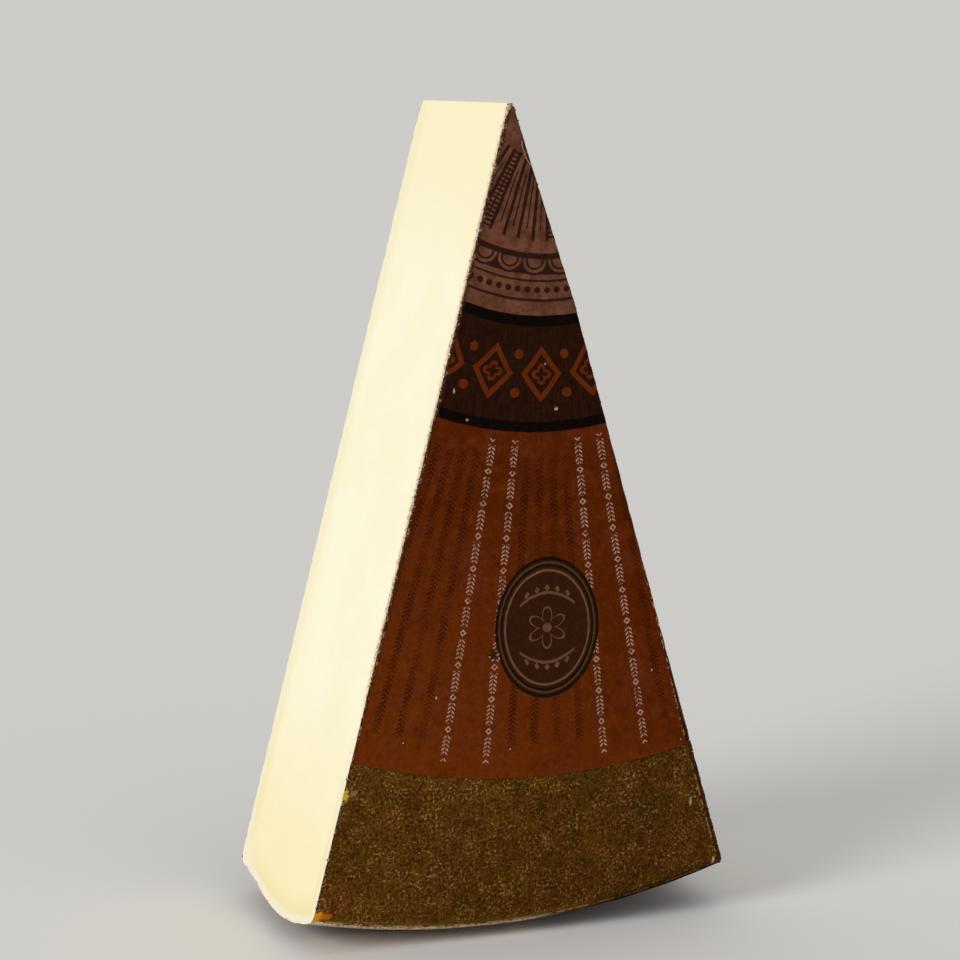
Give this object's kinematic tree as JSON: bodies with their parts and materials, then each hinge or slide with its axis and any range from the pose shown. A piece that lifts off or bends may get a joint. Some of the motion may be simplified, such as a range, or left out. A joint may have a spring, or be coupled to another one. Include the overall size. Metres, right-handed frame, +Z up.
{
  "type": "comte cheese",
  "caption": "Tall wedge of hard pressed cheese standing on its curved rind edge, with pale cut faces, grainy brown rind and a printed paper label on one face.",
  "frame": {"origin": "on the standing surface, below the middle of the part's box", "axes": "+X across the wedge to the right of the labelled face, +Y from the labelled face through the thickness to the bare face, +Z up from the rim to the point"},
  "size_m": [0.1758, 0.0976, 0.322],
  "materials": {
    "cheese": "smooth moist cut faces with a dry grainy brown rind",
    "label": "matte printed paper, worn by the rind under it"
  },
  "bodies": {
    "root": {"cheese": "cheese", "label": "label"}
  },
  "joints": []
}
